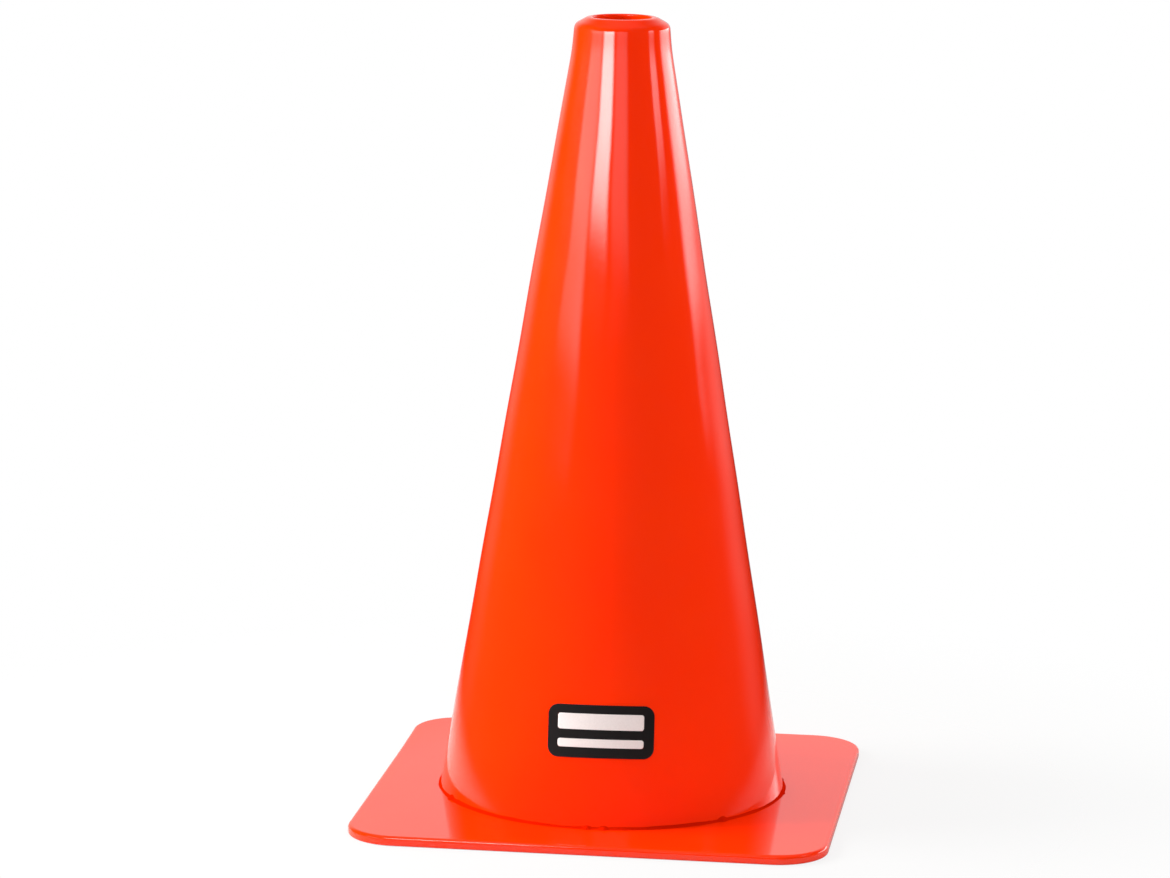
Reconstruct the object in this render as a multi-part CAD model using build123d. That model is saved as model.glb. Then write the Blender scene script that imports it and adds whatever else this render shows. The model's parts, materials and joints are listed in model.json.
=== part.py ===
from build123d import *
import math
import os

# Sports marker cone: a hollow cone of flexible PVC with a flange at its foot, the square base plate that is
# dropped over the cone on to the flange, the weld that joins them, and a film label on the front of the wall.
# Millimetres, +Z up along the cone's axis, floor at Z 0, front towards -Y.

# Cone wall
CONE_HEIGHT = 380.0  # floor to the top of the rim
FOOT_RADIUS = 83.8  # outside of the wall at the plate's top face
WALL = 2.5
FLANGE_WIDTH = 13.0  # flange under the plate, from the wall's outside
FLANGE_THICKNESS = 2.0
MOUTH_ROUND = 3.0  # inner edge of the open foot

# Rim and pole hole
HOLE_DIAMETER = 28.0  # clear hole for a training pole
LIP_WIDTH = 8.7  # hole's edge to the outside of the rim
LIP_THICKNESS = 4.3  # turned-in lip around the hole
RIM_FLAT = 2.6  # level ring around the hole
SHOULDER_DROP = 3.4  # fall of the sloping shoulder outside that ring
SHOULDER_ROUND = 4.5  # ring to shoulder
RIM_ROUND = 3.5  # shoulder to the outside of the rim
HOLE_EDGE_ROUND = 0.8  # upper edge of the hole
LIP_INNER_ROUND = 2.0  # inside corner below the lip
BAND_HEIGHT = 12.6  # steeper stretch of wall below the shoulder
BAND_FLARE = 1.1  # how much wider that stretch is at its lower end

# Base plate
PLATE_THICKNESS = 4.5
PLATE_MARGIN = 30.2  # foot of the wall to the plate's edge, at the middle of a side
PLATE_CORNER_RADIUS = 25.0
PLATE_TOP_ROUND = 1.8
PLATE_BOTTOM_ROUND = 0.8
SEAT_GAP = 0.3  # plate to the wall and to the flange's edge

# Weld
WELD_LEG = 1.0  # reach of the bead up the wall and out over the plate
WELD_HOLLOW = 0.12  # how far the bead's face is dished

# Front label
LABEL_WIDTH = 51.0
LABEL_HEIGHT = 25.0
LABEL_CORNER_RADIUS = 5.0
LABEL_THICKNESS = 0.2
LABEL_GLUE = 0.2  # adhesive between film and wall
LABEL_CENTRE_HEIGHT = 50.0  # above the floor
LABEL_TURN = 3.0  # degrees round the axis, from the front towards +X

# Rim, band and wall worked out
hole_radius = HOLE_DIAMETER / 2
rim_radius = hole_radius + LIP_WIDTH
lip_underside = CONE_HEIGHT - LIP_THICKNESS
shoulder_foot = CONE_HEIGHT - SHOULDER_DROP
band_radius = rim_radius + BAND_FLARE
band_foot = shoulder_foot - BAND_HEIGHT
band_taper = BAND_FLARE / BAND_HEIGHT
band_angle = math.atan(band_taper)
wall_taper = (FOOT_RADIUS - band_radius) / (band_foot - PLATE_THICKNESS)
wall_angle = math.atan(wall_taper)


def wall_radius(height):
    """Outside radius of the straight wall at a height above the floor."""
    return FOOT_RADIUS - (height - PLATE_THICKNESS) * wall_taper


def wall_inner_radius(height):
    """Inside radius of the straight wall at a height above the floor."""
    return wall_radius(height) - WALL / math.cos(wall_angle)


def band_inner_radius(height):
    """Inside radius of the steeper stretch below the rim."""
    return rim_radius + (shoulder_foot - height) * band_taper - WALL / math.cos(band_angle)


# Flange, seat and plate worked out
flange_radius = wall_radius(FLANGE_THICKNESS) + FLANGE_WIDTH
seat_radius = flange_radius + SEAT_GAP
opening_radius = wall_radius(FLANGE_THICKNESS) + SEAT_GAP
plate_side = 2 * (FOOT_RADIUS + PLATE_MARGIN)


def turned(outline):
    """A solid of revolution about Z from a closed outline of radius and height."""
    return revolve(make_face(Plane.XZ * outline), Axis.Z)


def make_cone_body():
    """Hat-shaped shell: flange, tapered wall, steeper band, sloping shoulder and turned-in lip."""
    # On the inside, the steeper band begins where the two inner lines cross.
    inner_gap = band_inner_radius(0) - wall_inner_radius(0)
    inner_band_foot = inner_gap / (band_taper - wall_taper)
    corners = [
        ((flange_radius, 0), 0),
        ((flange_radius, FLANGE_THICKNESS), 0),
        ((wall_radius(FLANGE_THICKNESS), FLANGE_THICKNESS), 0),
        ((band_radius, band_foot), 0),
        ((rim_radius, shoulder_foot), RIM_ROUND),
        ((hole_radius + RIM_FLAT, CONE_HEIGHT), SHOULDER_ROUND),
        ((hole_radius, CONE_HEIGHT), HOLE_EDGE_ROUND),
        ((hole_radius, lip_underside), 0),
        ((band_inner_radius(lip_underside), lip_underside), LIP_INNER_ROUND),
        ((wall_inner_radius(inner_band_foot), inner_band_foot), 0),
        ((wall_inner_radius(0), 0), MOUTH_ROUND),
    ]
    points = [point for point, _ in corners]
    rounds = [radius for _, radius in corners]
    return turned(FilletPolyline(points, radius=rounds, close=True))


def make_base_plate():
    """Square plate with rounded corners and edges, an opening for the wall and a seat below for the flange."""
    plate = extrude(RectangleRounded(plate_side, plate_side, PLATE_CORNER_RADIUS), PLATE_THICKNESS)
    plate = fillet(plate.edges().group_by(Axis.Z)[-1], PLATE_TOP_ROUND)
    plate = fillet(plate.edges().group_by(Axis.Z)[0], PLATE_BOTTOM_ROUND)
    opening = extrude(Circle(opening_radius), PLATE_THICKNESS)
    seat = extrude(Circle(seat_radius), FLANGE_THICKNESS)
    return plate - opening - seat


def make_foot_weld():
    """Ring of weld: a root that fills the gap round the wall, and a dished bead in the corner above it."""
    root = Vector(wall_radius(FLANGE_THICKNESS), FLANGE_THICKNESS)
    toe = Vector(FOOT_RADIUS + WELD_LEG, PLATE_THICKNESS)
    crest_height = PLATE_THICKNESS + WELD_LEG
    crest = Vector(wall_radius(crest_height), crest_height)
    inwards = Vector(-1, -1).normalized()
    face = ThreePointArc(toe, (toe + crest) / 2 + inwards * WELD_HOLLOW, crest)
    sides = Polyline(
        crest,
        root,
        (opening_radius, FLANGE_THICKNESS),
        (opening_radius, PLATE_THICKNESS),
        toe,
    )
    return turned(face + sides)


def make_label_film():
    """Thin film with rounded corners, wrapped on the front of the wall over a layer of adhesive."""
    low = LABEL_CENTRE_HEIGHT - LABEL_HEIGHT
    high = LABEL_CENTRE_HEIGHT + LABEL_HEIGHT
    under = LABEL_GLUE / math.cos(wall_angle)
    over = (LABEL_GLUE + LABEL_THICKNESS) / math.cos(wall_angle)
    layer = Polyline(
        (wall_radius(low) + under, low),
        (wall_radius(low) + over, low),
        (wall_radius(high) + over, high),
        (wall_radius(high) + under, high),
        close=True,
    )
    reach = wall_radius(LABEL_CENTRE_HEIGHT)
    facing = Vector(0, -1, 0).rotate(Axis.Z, LABEL_TURN)
    across = facing.rotate(Axis.Z, 90)
    outward = facing * math.cos(wall_angle) + Vector(0, 0, math.sin(wall_angle))
    centre = facing * reach + Vector(0, 0, LABEL_CENTRE_HEIGHT)
    front = Plane(origin=centre, x_dir=across, z_dir=outward)
    outline = RectangleRounded(LABEL_WIDTH, LABEL_HEIGHT, LABEL_CORNER_RADIUS)
    return turned(layer) & extrude(front * outline, reach / 2, both=True)


pieces = {
    "cone_body": make_cone_body(),
    "base_plate": make_base_plate(),
    "foot_weld": make_foot_weld(),
    "label_film": make_label_film(),
}

os.makedirs("parts", exist_ok=True)
for node, shape in pieces.items():
    export_step(shape, f"parts/{node}.step")
    size = shape.bounding_box().size
    print(f"{node}: {shape.volume / 1000:.1f} cm3, {size.X:.1f} x {size.Y:.1f} x {size.Z:.1f} mm")
print(f"plate side {plate_side:.1f}, flange radius {flange_radius:.2f}, opening radius {opening_radius:.2f}")
print(f"wall leans {math.degrees(wall_angle):.2f} degrees, hole wall {LIP_THICKNESS - HOLE_EDGE_ROUND:.1f}")
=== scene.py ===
import json
import math

import bpy
import numpy as np
from mathutils import Matrix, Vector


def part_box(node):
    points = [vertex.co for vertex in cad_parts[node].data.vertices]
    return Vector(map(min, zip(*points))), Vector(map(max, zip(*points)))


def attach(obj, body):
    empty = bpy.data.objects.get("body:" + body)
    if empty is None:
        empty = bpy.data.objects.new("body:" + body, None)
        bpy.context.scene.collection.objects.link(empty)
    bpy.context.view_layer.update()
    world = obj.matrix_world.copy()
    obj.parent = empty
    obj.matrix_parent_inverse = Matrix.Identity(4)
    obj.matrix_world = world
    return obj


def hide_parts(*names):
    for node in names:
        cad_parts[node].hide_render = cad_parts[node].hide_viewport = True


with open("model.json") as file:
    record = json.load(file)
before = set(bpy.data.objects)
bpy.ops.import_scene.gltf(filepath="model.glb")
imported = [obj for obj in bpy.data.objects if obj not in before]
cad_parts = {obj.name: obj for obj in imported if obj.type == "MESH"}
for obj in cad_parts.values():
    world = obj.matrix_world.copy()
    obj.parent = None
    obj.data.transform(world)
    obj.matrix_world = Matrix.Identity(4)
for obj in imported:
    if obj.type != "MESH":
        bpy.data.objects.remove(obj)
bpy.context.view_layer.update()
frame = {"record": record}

# Base plate: a flat square of flexible PVC, moulded glossy, with rounded corners and edges.
# It is dropped over the cone: the wall stands up through its round opening and its seat lies on the flange.
# It rests on the floor by its own weight, and one back corner has curled up a little.
MM = 0.001
PLATE_CORNER = 25.0 * MM
PLATE_TOP_ROUND = 1.8 * MM
PLATE_BOTTOM_ROUND = 0.8 * MM
FLANGE_WIDTH = 13.0 * MM
SEAT_GAP = 0.3 * MM
CURL_HEIGHT = 1.1 * MM
CURL_CORNER = (-1, 1)
PLATE_ROWS = 480
CORNER_CROWDING = 0.6
FACE_POINTS = 28
ROUND_POINTS = 10
EDGE_POINTS = 5
SHARP_ANGLE = math.radians(35.0)

plate_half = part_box("base_plate")[1].x
plate_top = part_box("base_plate")[1].z
flange_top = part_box("foot_weld")[0].z
flange_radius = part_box("cone_body")[1].x
seat_radius = flange_radius + SEAT_GAP
opening_radius = flange_radius - FLANGE_WIDTH + SEAT_GAP


def crowded(start, stop, count):
    """Values from start to stop that crowd towards both ends: the mean, less half the span times a cosine."""
    return start + (stop - start) * (1 - np.cos(np.linspace(0, np.pi, count))) / 2


def square_radius(angle, inset):
    """Distance from the axis to the plate's outline, moved inwards by an inset.
    Along a side it is half the side over the larger of cosine and sine. Near a diagonal it is where the
    ray leaves the corner's circle."""
    across, along = np.abs(np.cos(angle)), np.abs(np.sin(angle))
    middle = plate_half - PLATE_CORNER
    side = (plate_half - inset) / np.maximum(across, along)
    under_root = (PLATE_CORNER - inset) ** 2 - (middle * (across - along)) ** 2
    bend = middle * (across + along) + np.sqrt(np.maximum(under_root, 0))
    return np.where(side * np.minimum(across, along) > middle, bend, side)


def plate_points():
    """Grid round the axis and along the plate's section, which runs clockwise from the opening's upper edge.
    Rows crowd towards the corners by a sine of four waves. Each column has a share: 0 puts it on a circle, 1 on
    the square outline, and the faces run between. The curl grows with the square of the way to its corner."""
    turn = np.linspace(0, 2 * np.pi, PLATE_ROWS, endpoint=False)
    angle = (turn + CORNER_CROWDING * np.sin(4 * turn) / 4)[:, None]
    share = crowded(0, 1, FACE_POINTS)
    bend = np.linspace(0, np.pi / 2, ROUND_POINTS)
    edge_top, edge_foot = plate_top - PLATE_TOP_ROUND, PLATE_BOTTOM_ROUND
    runs = [
        (share, opening_radius, PLATE_TOP_ROUND, plate_top),
        (1, 0, PLATE_TOP_ROUND * (1 - np.sin(bend)), edge_top + PLATE_TOP_ROUND * np.cos(bend)),
        (1, 0, 0, crowded(edge_top, edge_foot, EDGE_POINTS)),
        (1, 0, PLATE_BOTTOM_ROUND * (1 - np.cos(bend)), edge_foot * (1 - np.sin(bend))),
        (share[::-1], seat_radius, PLATE_BOTTOM_ROUND, 0),
        (0, seat_radius, 0, crowded(0, flange_top, EDGE_POINTS)),
        (0, crowded(seat_radius, opening_radius, EDGE_POINTS), 0, flange_top),
        (0, opening_radius, 0, crowded(flange_top, plate_top, EDGE_POINTS)),
    ]
    columns = [np.stack(np.broadcast_arrays(*run))[:, :-1] for run in runs]
    share, circle, inset, height = np.concatenate(columns, axis=1)
    radius = (1 - share) * circle + share * square_radius(angle, inset)
    x, y = radius * np.cos(angle), radius * np.sin(angle)
    towards_corner = (CURL_CORNER[0] * x + CURL_CORNER[1] * y) / math.sqrt(2)
    reach = square_radius(np.array(math.pi / 4), 0) - seat_radius
    curl = CURL_HEIGHT * np.clip((towards_corner - seat_radius) / reach, 0, 1) ** 2
    return np.stack([x, y, height + curl], axis=-1)


def grid_object(name, points, loop_rows=True, loop_columns=True):
    """Mesh object from a grid of points, one quad between each four neighbours, closed round where asked.
    Columns that run clockwise in radius and height give faces that point outwards."""
    rows, columns = points.shape[:2]
    index = np.arange(rows * columns).reshape(rows, columns)
    if loop_rows:
        index = np.concatenate([index, index[:1]])
    if loop_columns:
        index = np.concatenate([index, index[:, :1]], axis=1)
    quads = np.stack([index[:-1, :-1], index[:-1, 1:], index[1:, 1:], index[1:, :-1]], axis=-1)
    mesh = bpy.data.meshes.new(name)
    mesh.from_pydata(points.reshape(-1, 3).tolist(), [], quads.reshape(-1, 4).tolist())
    mesh.shade_smooth()
    mesh.set_sharp_from_angle(angle=SHARP_ANGLE)
    piece = bpy.data.objects.new(name, mesh)
    bpy.context.scene.collection.objects.link(piece)
    return piece


def linear(hex_colour):
    """Linear red, green, blue and alpha from an sRGB hex colour."""
    values = [int(hex_colour[i:i + 2], 16) / 255 for i in (1, 3, 5)]
    return [v / 12.92 if v <= 0.04045 else ((v + 0.055) / 1.055) ** 2.4 for v in values] + [1]


def add_node(owner, kind, values=None, links=None, **properties):
    """One node in a material's or world's tree, with its properties, input values and input links set."""
    node = owner.node_tree.nodes.new("ShaderNode" + kind)
    for name, value in properties.items():
        setattr(node, name, value)
    for key, value in (values or {}).items():
        node.inputs[key].default_value = value
    for key, socket in (links or {}).items():
        owner.node_tree.links.new(socket, node.inputs[key])
    return node


def new_material(name):
    """An empty node material with its output node."""
    material = bpy.data.materials.new(name)
    material.use_nodes = True
    material.node_tree.nodes.clear()
    return material, add_node(material, "OutputMaterial")


# Moulded flexible PVC, coloured all through with a bright orange-red pigment. The mould leaves it glossy,
# with a faint orange peel.
PVC_LIGHT = "#FF3300"
PVC_DEEP = "#FF2A00"
PVC_MOTTLE = 45 * MM
PVC_PEEL = 3.5 * MM
PVC_PEEL_DEPTH = 0.012 * MM
PVC_SMEAR = 14 * MM
PVC_GLOSS = (0.06, 0.11)
PVC_SHINE = 0.5
PVC_IOR = 1.53


def flexible_pvc(name, deep, light, gloss_range, shine):
    """Colour mixed from deep to light by broad noise, roughness spread over a range by smears, and a bump from
    fine orange peel."""
    material, output = new_material(name)
    place = add_node(material, "TexCoord").outputs["Object"]
    mottle = add_node(material, "TexNoise", {"Scale": 1 / PVC_MOTTLE, "Detail": 3}, {"Vector": place})
    colour = add_node(
        material, "Mix", {"A": linear(deep), "B": linear(light)}, {"Factor": mottle.outputs["Fac"]},
        data_type="RGBA",
    )
    smear = add_node(material, "TexNoise", {"Scale": 1 / PVC_SMEAR, "Detail": 4}, {"Vector": place})
    gloss = add_node(
        material, "MapRange", {"To Min": gloss_range[0], "To Max": gloss_range[1]}, {"Value": smear.outputs["Fac"]}
    )
    peel = add_node(material, "TexNoise", {"Scale": 1 / PVC_PEEL, "Detail": 2}, {"Vector": place})
    bump = add_node(material, "Bump", {"Distance": PVC_PEEL_DEPTH}, {"Height": peel.outputs["Fac"]})
    shader = add_node(
        material, "BsdfPrincipled", {"IOR": PVC_IOR, "Specular IOR Level": shine},
        {
            "Base Color": colour.outputs["Result"],
            "Roughness": gloss.outputs["Result"],
            "Normal": bump.outputs["Normal"],
        },
    )
    material.node_tree.links.new(shader.outputs["BSDF"], output.inputs["Surface"])
    return material


pvc = flexible_pvc("flexible_pvc_gloss", PVC_DEEP, PVC_LIGHT, PVC_GLOSS, PVC_SHINE)
plate = grid_object("plate", plate_points())
plate.data.materials.append(pvc)
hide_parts("base_plate")
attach(plate, "root")

# Cone body: one hollow shell of the same PVC, drawn off a tapered core, with a rounded rim and pole hole.
# At its foot the wall turns out into a flat flange, which lies under the plate and holds it.
# The soft wall is never quite round: it carries a slight oval and long, shallow ripples.
WALL = 2.5 * MM
FOOT_RADIUS = 83.8 * MM
MOUTH_ROUND = 3.0 * MM
LIP_WIDTH = 8.7 * MM
LIP_THICKNESS = 4.3 * MM
RIM_FLAT = 2.6 * MM
SHOULDER_DROP = 3.4 * MM
SHOULDER_ROUND = 4.5 * MM
RIM_ROUND = 3.5 * MM
HOLE_EDGE_ROUND = 0.8 * MM
LIP_INNER_ROUND = 2.0 * MM
LIP_LOWER_ROUND = 0.3 * MM
BAND_HEIGHT = 12.6 * MM
BAND_FLARE = 1.1 * MM
BAND_BLEND = 150.0 * MM
BODY_ROWS = 288
BODY_STEP = 4.0 * MM
FEWEST_POINTS = 4
SWELL_FOOT = 8.0 * MM
OVAL = 0.20 * MM
OVAL_START = 0.6
RIPPLES = ((3, 70 * MM, 0.09 * MM), (7, -110 * MM, 0.05 * MM), (11, 160 * MM, 0.025 * MM))

cone_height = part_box("cone_body")[1].z
hole_radius = frame["record"]["mounts"][0]["dims"]["r_mm"] * MM
rim_radius = hole_radius + LIP_WIDTH
band_radius = rim_radius + BAND_FLARE
shoulder_foot = cone_height - SHOULDER_DROP
band_foot = shoulder_foot - BAND_HEIGHT
lip_level = cone_height - LIP_THICKNESS
band_taper = BAND_FLARE / BAND_HEIGHT
wall_taper = (FOOT_RADIUS - band_radius) / (band_foot - plate_top)
wall_lean = math.atan(wall_taper)


def wall_outside(height):
    """Outside radius of the straight wall: its foot's, less the taper for each step up."""
    return FOOT_RADIUS - (height - plate_top) * wall_taper


def wall_inside(height):
    """Inside radius of the straight wall: its outside line, moved in square to itself by the wall."""
    return wall_outside(height) - WALL * math.hypot(1, wall_taper)


def band_inside(height):
    """Inside radius of the steeper band below the rim, found the same way."""
    return rim_radius + (shoulder_foot - height) * band_taper - WALL * math.hypot(1, band_taper)


def rounded_section(corners, step):
    """Closed section through corners of radius, height and round.
    Straight runs have points that crowd towards their ends, and each round is the arc tangent to its runs."""
    place = np.array([corner[:2] for corner in corners])
    pieces = []
    leaves = []
    for before, here, after, corner in zip(np.roll(place, 1, 0), place, np.roll(place, -1, 0), corners):
        back = (before - here) / np.linalg.norm(before - here)
        onward = (after - here) / np.linalg.norm(after - here)
        half = math.acos(np.clip(back @ onward, -1, 1)) / 2
        reach = corner[2] / math.tan(half)
        middle = here + (back + onward) / np.linalg.norm(back + onward) * corner[2] / math.sin(half)
        sweep = math.pi - 2 * half
        share = np.linspace(0, 1, ROUND_POINTS if corner[2] else 1)[:, None]
        start, stop = here + back * reach - middle, here + onward * reach - middle
        arc = (np.sin((1 - share) * sweep) * start + np.sin(share * sweep) * stop) / math.sin(sweep)
        leaves.append(middle + arc)
    for arc, following in zip(leaves, leaves[1:] + leaves[:1]):
        length = np.linalg.norm(following[0] - arc[-1])
        share = crowded(0, 1, max(FEWEST_POINTS, math.ceil(length / step)))[1:-1, None]
        pieces += [arc, arc[-1] + (following[0] - arc[-1]) * share]
    return np.concatenate(pieces)


def wall_swell(angle, height):
    """How far the wall stands off its true cone: a sum of waves round the axis that climb the wall,
    faded to nothing at the foot and at the rim by the root of half a sine."""
    low, high = plate_top + SWELL_FOOT, band_foot
    fade = np.sqrt(np.sin(np.pi * np.clip((height - low) / (high - low), 0, 1)))
    waves = OVAL * np.cos(2 * angle + OVAL_START)
    for count, climb, size in RIPPLES:
        waves = waves + size * np.sin(count * angle + 2 * np.pi * height / climb)
    return fade * waves


def body_points():
    """The section turned about the axis, with the swell added to its radius on both sides of the wall."""
    inner_foot = (band_inside(0) - wall_inside(0)) / (band_taper - wall_taper)
    section = rounded_section(
        [
            (hole_radius + RIM_FLAT, cone_height, SHOULDER_ROUND),
            (rim_radius, shoulder_foot, RIM_ROUND),
            (band_radius, band_foot, BAND_BLEND),
            (wall_outside(flange_top), flange_top, 0),
            (flange_radius, flange_top, 0),
            (flange_radius, 0, 0),
            (wall_inside(0), 0, MOUTH_ROUND),
            (wall_inside(inner_foot), inner_foot, BAND_BLEND),
            (band_inside(lip_level), lip_level, LIP_INNER_ROUND),
            (hole_radius, lip_level, LIP_LOWER_ROUND),
            (hole_radius, cone_height, HOLE_EDGE_ROUND),
        ],
        BODY_STEP,
    )
    angle = np.linspace(0, 2 * np.pi, BODY_ROWS, endpoint=False)[:, None]
    radius = section[:, 0] + wall_swell(angle, section[:, 1])
    height = np.broadcast_to(section[:, 1], radius.shape)
    return np.stack([radius * np.cos(angle), radius * np.sin(angle), height], axis=-1)


body = grid_object("cone_shell", body_points())
body.data.materials.append(pvc)
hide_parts("cone_body")
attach(body, "root")

# Weld: a ring of the same PVC, melted into the gap between wall and plate and smoothed off by hand.
# Its bead fills the corner round the cone's foot, wanders in size and stands out in lumps here and there.
# Its colour is darkened as painted shade for the crease round the cone's foot, and it is duller than the rest.
# Deep and light tones of the weld, both darkened as painted shade for the crease at the foot.
CREASE_SHADE_LIGHT = "#DC1C00"
CREASE_SHADE_DEEP = "#B01000"
WELD_GLOSS = (0.2, 0.6)
WELD_SHINE = 0.0
WELD_ROWS = 900
WELD_LEG = 1.1 * MM
WELD_DISH = 0.14
WELD_WANDER = 0.3
WELD_LUMP = 1.0
LUMP_LEVEL = 0.45
LUMP_BULGE = 0.3
WELD_WAVES = ((5, 0.9, 1.0), (13, 2.4, 0.6), (29, 4.1, 0.5))
LUMP_WAVES = ((7, 0.4, 1.0), (17, 2.1, 1.0), (61, 4.0, 0.8))


def weld_points():
    """A root of square section with a three-cornered bead on it, turned about the axis.
    The bead's face is dished by a share of its leg. The leg follows one sum of sines round the ring. Lumps are
    added, and bulge the face out again, where another sum is over a level."""
    angle = np.linspace(0, 2 * np.pi, WELD_ROWS, endpoint=False)[:, None]
    wander = sum(size * np.sin(count * angle + start) for count, start, size in WELD_WAVES)
    high = sum(size * np.sin(count * angle + start) for count, start, size in LUMP_WAVES)
    lump = np.clip(high / sum(size for _, _, size in LUMP_WAVES) - LUMP_LEVEL, 0, None) / (1 - LUMP_LEVEL)
    wander = wander / sum(size for _, _, size in WELD_WAVES)
    leg = WELD_LEG * (1 + WELD_WANDER * wander + WELD_LUMP * lump)
    share = np.linspace(0, 1, ROUND_POINTS)
    dish = (WELD_DISH - LUMP_BULGE * lump) * leg * 4 * share * (1 - share) / math.sqrt(2)
    height = plate_top + leg * (1 - share) - dish
    radius = wall_outside(plate_top + leg * (1 - share)) + leg * share - dish
    root = np.array([opening_radius, opening_radius, wall_outside(flange_top)])
    level = np.array([plate_top, flange_top, flange_top])
    radius = np.concatenate([radius, np.broadcast_to(root, (WELD_ROWS, 3))], axis=1)
    height = np.concatenate([height, np.broadcast_to(level, (WELD_ROWS, 3))], axis=1)
    return np.stack([radius * np.cos(angle), radius * np.sin(angle), height], axis=-1)


weld = grid_object("weld_ring", weld_points())
# The weld's material takes these colours, which are painted shade, not the PVC's own colour.
weld.data.materials.append(flexible_pvc("welded_pvc_painted_shade", CREASE_SHADE_DEEP, CREASE_SHADE_LIGHT, WELD_GLOSS, WELD_SHINE))
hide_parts("foot_weld")
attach(weld, "root")

# Label: a black vinyl film with rounded corners, wrapped on the front of the wall and stuck down.
# Two blank white bars are screen-printed on it for writing on.
LABEL_WIDTH = 51.0 * MM
LABEL_HEIGHT = 25.0 * MM
LABEL_CORNER = 5.0 * MM
LABEL_THICKNESS = 0.2 * MM
LABEL_GLUE = 0.2 * MM
LABEL_CENTRE = 50.0 * MM
LABEL_TURN = math.radians(3.0)
INK_THICKNESS = 0.06 * MM
BARS = {
    "label_bar_upper": (41.0 * MM, 7.5 * MM, 4.6 * MM),
    "label_bar_lower": (41.0 * MM, 4.0 * MM, -5.6 * MM),
}
BAR_CORNER = 1.2 * MM
PATCH_STEP = 0.6 * MM


def wrapped_points(width, height, corner, up, lift):
    """A flat rounded rectangle laid on the cone without stretching.
    A flat point's distance from the cone's tip and its angle there are kept; the angle round the axis is
    that angle over the sine of the cone's lean."""
    y = crowded(-height / 2, height / 2, 2 * math.ceil(height / PATCH_STEP))[:, None]
    into_corner = np.maximum(np.abs(y) - (height / 2 - corner), 0)
    half = width / 2 - corner + np.sqrt(np.maximum(corner ** 2 - into_corner ** 2, 0))
    x = np.linspace(-1, 1, math.ceil(width / PATCH_STEP)) * half
    lean = math.sin(wall_lean)
    slant = wall_outside(LABEL_CENTRE) / lean
    tip = LABEL_CENTRE + slant * math.cos(wall_lean)
    flat_y = slant - up - y
    far = np.hypot(x, flat_y)
    front = LABEL_TURN + np.arctan2(x, flat_y) / lean
    level = tip - far * math.cos(wall_lean)
    radius = far * lean + wall_swell(front - math.pi / 2, level) + lift * math.cos(wall_lean)
    return np.stack(
        [radius * np.sin(front), -radius * np.cos(front), level + lift * math.sin(wall_lean)], axis=-1
    )


def patch_object(name, points, thickness):
    """A patch of grid with its thickness added inwards."""
    piece = grid_object(name, points, loop_rows=False, loop_columns=False)
    solid = piece.modifiers.new("thickness", "SOLIDIFY")
    solid.thickness = thickness
    solid.offset = -1
    return piece


# Calendered vinyl, printed solid black: satin, with a faint grain.
FILM_LIGHT = "#161314"
FILM_DEEP = "#0F0D0E"
FILM_GRAIN = 0.8 * MM
FILM_GRAIN_DEPTH = 0.006 * MM
FILM_GLOSS = (0.3, 0.42)
FILM_IOR = 1.5


def black_vinyl():
    """Near-black colour and roughness, both broken up by fine grain."""
    material, output = new_material("black_vinyl_film")
    place = add_node(material, "TexCoord").outputs["Object"]
    grain = add_node(material, "TexNoise", {"Scale": 1 / FILM_GRAIN, "Detail": 3}, {"Vector": place})
    colour = add_node(
        material, "Mix", {"A": linear(FILM_DEEP), "B": linear(FILM_LIGHT)}, {"Factor": grain.outputs["Fac"]},
        data_type="RGBA",
    )
    gloss = add_node(
        material, "MapRange", {"To Min": FILM_GLOSS[0], "To Max": FILM_GLOSS[1]}, {"Value": grain.outputs["Fac"]}
    )
    bump = add_node(material, "Bump", {"Distance": FILM_GRAIN_DEPTH}, {"Height": grain.outputs["Fac"]})
    shader = add_node(
        material, "BsdfPrincipled", {"IOR": FILM_IOR},
        {
            "Base Color": colour.outputs["Result"],
            "Roughness": gloss.outputs["Result"],
            "Normal": bump.outputs["Normal"],
        },
    )
    material.node_tree.links.new(shader.outputs["BSDF"], output.inputs["Surface"])
    return material


# Opaque white screen ink: matt, a touch uneven where the mesh let it through.
INK_FULL = "#EAE4E1"
INK_THIN = "#DDD6D3"
INK_MESH = 0.7 * MM
INK_DEPTH = 0.01 * MM
INK_GLOSS = (0.42, 0.55)
INK_IOR = 1.48


def white_ink():
    """Off-white colour and roughness varied by the ink's uneven lay."""
    material, output = new_material("white_screen_ink")
    place = add_node(material, "TexCoord").outputs["Object"]
    lay = add_node(material, "TexNoise", {"Scale": 1 / INK_MESH, "Detail": 2}, {"Vector": place})
    colour = add_node(
        material, "Mix", {"A": linear(INK_THIN), "B": linear(INK_FULL)}, {"Factor": lay.outputs["Fac"]},
        data_type="RGBA",
    )
    gloss = add_node(
        material, "MapRange", {"To Min": INK_GLOSS[0], "To Max": INK_GLOSS[1]}, {"Value": lay.outputs["Fac"]}
    )
    bump = add_node(material, "Bump", {"Distance": INK_DEPTH}, {"Height": lay.outputs["Fac"]})
    shader = add_node(
        material, "BsdfPrincipled", {"IOR": INK_IOR},
        {
            "Base Color": colour.outputs["Result"],
            "Roughness": gloss.outputs["Result"],
            "Normal": bump.outputs["Normal"],
        },
    )
    material.node_tree.links.new(shader.outputs["BSDF"], output.inputs["Surface"])
    return material


film = patch_object(
    "label_vinyl",
    wrapped_points(LABEL_WIDTH, LABEL_HEIGHT, LABEL_CORNER, 0, LABEL_GLUE + LABEL_THICKNESS),
    LABEL_GLUE + LABEL_THICKNESS,
)
film.data.materials.append(black_vinyl())
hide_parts("label_film")
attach(film, "root")
ink = white_ink()
for name, (width, height, up) in BARS.items():
    bar = patch_object(
        name,
        wrapped_points(width, height, BAR_CORNER, up, LABEL_GLUE + LABEL_THICKNESS + INK_THICKNESS),
        INK_THICKNESS,
    )
    bar.data.materials.append(ink)
    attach(bar, "root")

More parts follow.
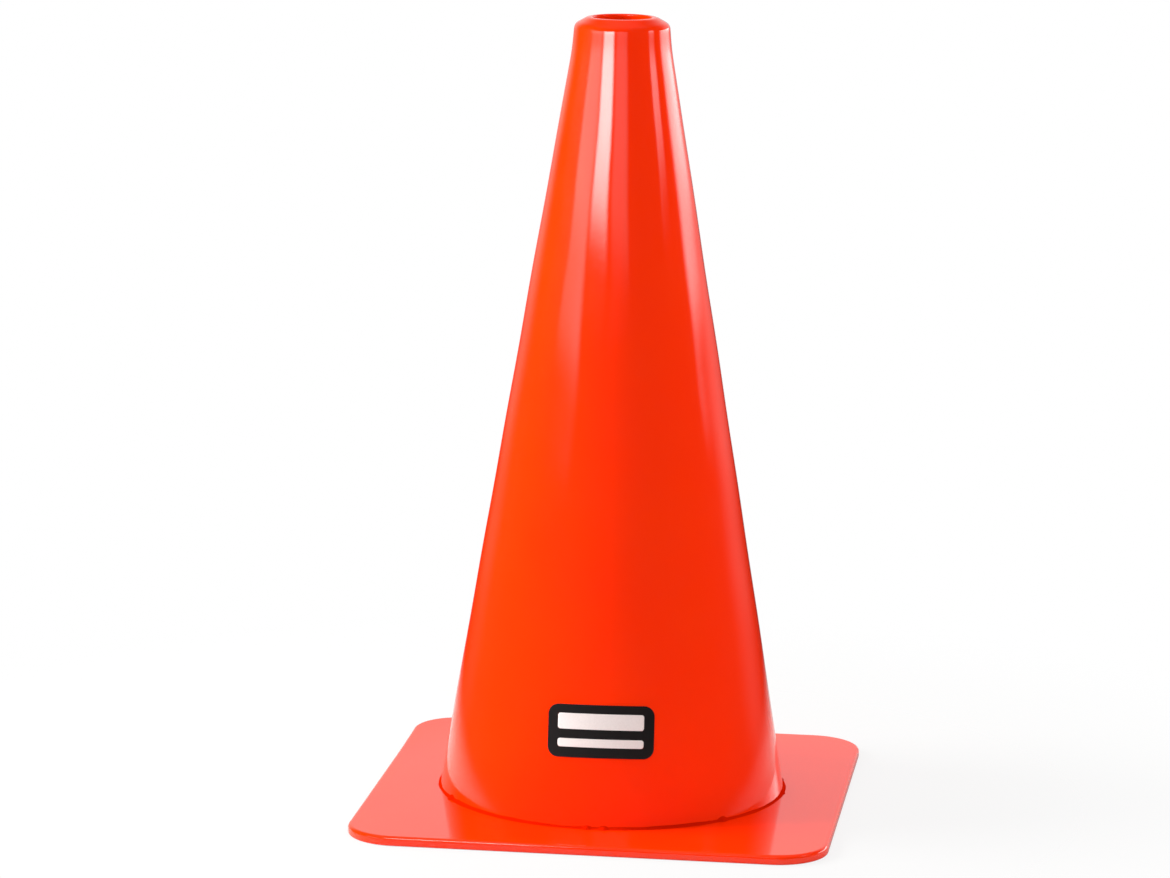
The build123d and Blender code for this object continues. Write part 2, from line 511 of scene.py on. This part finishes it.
# Floor: a small pale matt table, close under the plate, which takes the shadow.
# Away from the object it fades out into the white background.
FLOOR_HALF = 0.7
FLOOR_GAP = 0.2 * MM
FLOOR_COLOUR = "#C4C3C1"
FLOOR_FADE = (0.15, 0.42)
FLOOR_WHITE = 0.84


def floor_table():
    """Matt pale grey, mixed with plain white for camera rays, and faded into nothing by distance from the
    object."""
    material, output = new_material("pale_table")
    place = add_node(material, "TexCoord").outputs["Object"]
    away = add_node(material, "VectorMath", links={0: place}, operation="LENGTH")
    fade = add_node(
        material, "MapRange", {"From Min": FLOOR_FADE[0], "From Max": FLOOR_FADE[1]},
        {"Value": away.outputs["Value"]}, interpolation_type="SMOOTHSTEP",
    )
    seen = add_node(
        material, "MapRange", {"To Max": FLOOR_WHITE},
        {"Value": add_node(material, "LightPath").outputs["Is Camera Ray"]},
    )
    matt = add_node(material, "BsdfDiffuse", {"Color": linear(FLOOR_COLOUR)})
    white = add_node(material, "Emission", {"Color": (1, 1, 1, 1), "Strength": 1.0})
    pale = add_node(
        material, "MixShader",
        links={0: seen.outputs["Result"], 1: matt.outputs["BSDF"], 2: white.outputs["Emission"]},
    )
    clear = add_node(material, "BsdfTransparent")
    mix = add_node(
        material, "MixShader",
        links={0: fade.outputs["Result"], 1: pale.outputs["Shader"], 2: clear.outputs["BSDF"]},
    )
    material.node_tree.links.new(mix.outputs["Shader"], output.inputs["Surface"])
    return material


span = np.array([-FLOOR_HALF, FLOOR_HALF])
floor_x, floor_y = np.meshgrid(span, span)
floor = grid_object(
    "floor",
    np.stack([floor_x, floor_y, np.full_like(floor_x, -FLOOR_GAP)], axis=-1),
    loop_rows=False,
    loop_columns=False,
)
floor.data.materials.append(floor_table())

# Camera: a long lens a little above the object, turned and tipped as the picture was taken.
SENSOR_WIDTH = 36.0
PICTURE_WIDTH = 1170
FOCAL_PIXELS = 4608.85
CAMERA_DISTANCE = 2223.7 * MM
CAMERA_ELEVATION = math.radians(10.823)
CAMERA_TURN = math.radians(7.745)
CAMERA_ROLL = math.radians(0.708)
AIM_HEIGHT = 175.96 * MM
AIM_LEFT = 15.27 * MM

camera_data = bpy.data.cameras.new("camera")
camera_data.sensor_width = SENSOR_WIDTH
camera_data.lens = SENSOR_WIDTH * FOCAL_PIXELS / PICTURE_WIDTH
camera = bpy.data.objects.new("camera", camera_data)
bpy.context.scene.collection.objects.link(camera)
bpy.context.scene.camera = camera
right = np.array([math.cos(CAMERA_TURN), math.sin(CAMERA_TURN), 0])
back = np.array(
    [
        math.sin(CAMERA_TURN) * math.cos(CAMERA_ELEVATION),
        -math.cos(CAMERA_TURN) * math.cos(CAMERA_ELEVATION),
        math.sin(CAMERA_ELEVATION),
    ]
)
upright = np.cross(back, right)
place = np.array([0, 0, AIM_HEIGHT]) - AIM_LEFT * right + CAMERA_DISTANCE * back
turned_right = right * math.cos(CAMERA_ROLL) + upright * math.sin(CAMERA_ROLL)
turned_up = upright * math.cos(CAMERA_ROLL) - right * math.sin(CAMERA_ROLL)
pose = np.eye(4)
pose[:3] = np.stack([turned_right, turned_up, back, place], axis=1)
camera.matrix_world = Matrix(pose.tolist())

# Lamps: one broad soft box to the left lights the object. The others are white strips close to it and two large
# boards farther off, which only show in its gloss. Each has its turn from the camera, its distance, the heights
# of its lower and upper edge, its width and how bright it looks. It fades towards its sides and lower edge.
SOFT_BOX = "soft_box"
LAMPS = {
    SOFT_BOX: (-90, 0.90, 0.20, 0.75, 0.55, 32.0),
    "key_strip": (-31, 0.52, 0.34, 0.50, 0.28, 16.0),
    "left_board": (-62, 1.60, 0.33, 0.70, 1.05, 3.2),
    "front_strip": (-1, 0.60, 0.33, 0.52, 0.32, 1.3),
    "right_strip": (72, 0.60, 0.35, 0.55, 0.19, 4.2),
    "rim_board": (124, 2.00, 0.18, 0.635, 2.05, 4.9),
}
LAMP_FADE = 0.6
LAMP_SIDE = 0.25

lamp_aim = np.array([0, 0, cone_height / 2])

for name, (turn, distance, low, high, width, brightness) in LAMPS.items():
    angle = CAMERA_TURN + math.radians(turn)
    spot = np.array([distance * math.sin(angle), -distance * math.cos(angle), (low + high) / 2])
    facing = (spot - lamp_aim) / np.linalg.norm(spot - lamp_aim)
    sideways = np.array([math.cos(angle), math.sin(angle), 0])
    tall = (high - low) / math.hypot(facing[0], facing[1])
    lamp_data = bpy.data.lights.new(name, "AREA")
    lamp_data.shape = "RECTANGLE"
    lamp_data.size = width
    lamp_data.size_y = tall
    lamp_data.energy = brightness * math.pi * width * tall
    lamp_data.use_nodes = True
    lamp_data.node_tree.nodes.clear()
    panel = add_node(lamp_data, "NewGeometry").outputs["Parametric"]
    across = add_node(lamp_data, "SeparateXYZ", links={0: panel})
    rest = add_node(lamp_data, "Math", {0: 1.0}, {1: across.outputs["X"]}, operation="SUBTRACT")
    inward = add_node(
        lamp_data, "Math", links={0: across.outputs["X"], 1: rest.outputs["Value"]}, operation="MULTIPLY"
    )
    sides = add_node(
        lamp_data, "MapRange", {"From Max": LAMP_SIDE * (1 - LAMP_SIDE)}, {"Value": inward.outputs["Value"]},
        interpolation_type="SMOOTHSTEP",
    )
    rise = add_node(
        lamp_data, "MapRange", {"From Max": LAMP_FADE}, {"Value": across.outputs["Y"]},
        interpolation_type="SMOOTHSTEP",
    )
    glow = add_node(
        lamp_data, "Math", links={0: sides.outputs["Result"], 1: rise.outputs["Result"]}, operation="MULTIPLY"
    )
    light = add_node(lamp_data, "Emission", {"Color": (1, 1, 1, 1)}, {"Strength": glow.outputs["Value"]})
    lamp_output = add_node(lamp_data, "OutputLight")
    lamp_data.node_tree.links.new(light.outputs["Emission"], lamp_output.inputs["Surface"])
    lamp = bpy.data.objects.new(name, lamp_data)
    bpy.context.scene.collection.objects.link(lamp)
    lamp.visible_camera = False
    lamp.visible_glossy = name != SOFT_BOX
    lamp.visible_diffuse = name == SOFT_BOX
    pose = np.eye(4)
    pose[:3] = np.stack([sideways, np.cross(facing, sideways), facing, spot], axis=1)
    lamp.matrix_world = Matrix(pose.tolist())

# Background: white to the eye. It lights the object evenly from all round, and more from a white sweep behind.
# In the gloss only the sweep above the horizon and a little of the ceiling show; the rest of the room is dark.
# The limits are heights (Z) and depths (Y) of a direction of length 1.
SWEEP_LIGHT = 2.0
SWEEP_MIRRORED = 0.75
ROOM_LIGHT = 0.88
ROOM_MIRRORED = 0.02
CEILING_MIRRORED = 0.25
SWEEP_DEPTH = (-0.1, 0.5)
SWEEP_MIRRORED_DEPTH = (0.4, 0.85)
SWEEP_TOP = (0.3, 0.75)
SWEEP_TOP_LEFT = 0.15
HORIZON = (-0.16, 0.02)
CEILING = (0.7, 0.95)

world = bpy.data.worlds.new("studio")
bpy.context.scene.world = world
world.use_nodes = True
world.node_tree.nodes.clear()
world_output = add_node(world, "OutputWorld")
direction = add_node(world, "TexCoord").outputs["Generated"]
split = add_node(world, "SeparateXYZ", links={0: direction})
behind = add_node(
    world, "MapRange", {"From Min": SWEEP_DEPTH[0], "From Max": SWEEP_DEPTH[1]}, {"Value": split.outputs["Y"]},
    interpolation_type="SMOOTHSTEP",
)
low_down = add_node(
    world, "MapRange",
    {"From Min": SWEEP_TOP[0], "From Max": SWEEP_TOP[1], "To Min": 1.0, "To Max": SWEEP_TOP_LEFT},
    {"Value": split.outputs["Z"]}, interpolation_type="SMOOTHSTEP",
)
above = add_node(
    world, "MapRange", {"From Min": HORIZON[0], "From Max": HORIZON[1]}, {"Value": split.outputs["Z"]},
    interpolation_type="SMOOTHSTEP",
)
sweep = add_node(
    world, "Math", links={0: behind.outputs["Result"], 1: low_down.outputs["Result"]}, operation="MULTIPLY"
)
far_behind = add_node(
    world, "MapRange", {"From Min": SWEEP_MIRRORED_DEPTH[0], "From Max": SWEEP_MIRRORED_DEPTH[1]},
    {"Value": split.outputs["Y"]}, interpolation_type="SMOOTHSTEP",
)
band = add_node(
    world, "Math", links={0: low_down.outputs["Result"], 1: above.outputs["Result"]}, operation="MULTIPLY"
)
upper = add_node(
    world, "Math", links={0: far_behind.outputs["Result"], 1: band.outputs["Value"]}, operation="MULTIPLY"
)
rays = add_node(world, "LightPath")
shiny = add_node(
    world, "Math", links={0: rays.outputs["Is Glossy Ray"], 1: rays.outputs["Is Transmission Ray"]},
    operation="MAXIMUM",
)
ceiling = add_node(
    world, "MapRange", {"From Min": CEILING[0], "From Max": CEILING[1], "To Max": CEILING_MIRRORED},
    {"Value": split.outputs["Z"]}, interpolation_type="SMOOTHSTEP",
)
lit = add_node(
    world, "MapRange", {"To Min": ROOM_LIGHT, "To Max": SWEEP_LIGHT}, {"Value": sweep.outputs["Value"]}
)
mirrored = add_node(
    world, "MapRange", {"To Min": ROOM_MIRRORED, "To Max": SWEEP_MIRRORED}, {"Value": upper.outputs["Value"]}
)
around = add_node(
    world, "Math", links={0: mirrored.outputs["Result"], 1: ceiling.outputs["Result"]}, operation="MAXIMUM"
)
even = add_node(
    world, "Mix",
    links={"Factor": shiny.outputs["Value"], "A": lit.outputs["Result"], "B": around.outputs["Value"]},
)
seen = add_node(
    world, "Mix", {"B": 1.0}, {"Factor": rays.outputs["Is Camera Ray"], "A": even.outputs["Result"]}
)
background = add_node(world, "Background", {"Color": (1, 1, 1, 1)}, {"Strength": seen.outputs["Result"]})
world.node_tree.links.new(background.outputs["Background"], world_output.inputs["Surface"])
bpy.context.scene.view_settings.view_transform = "Standard"
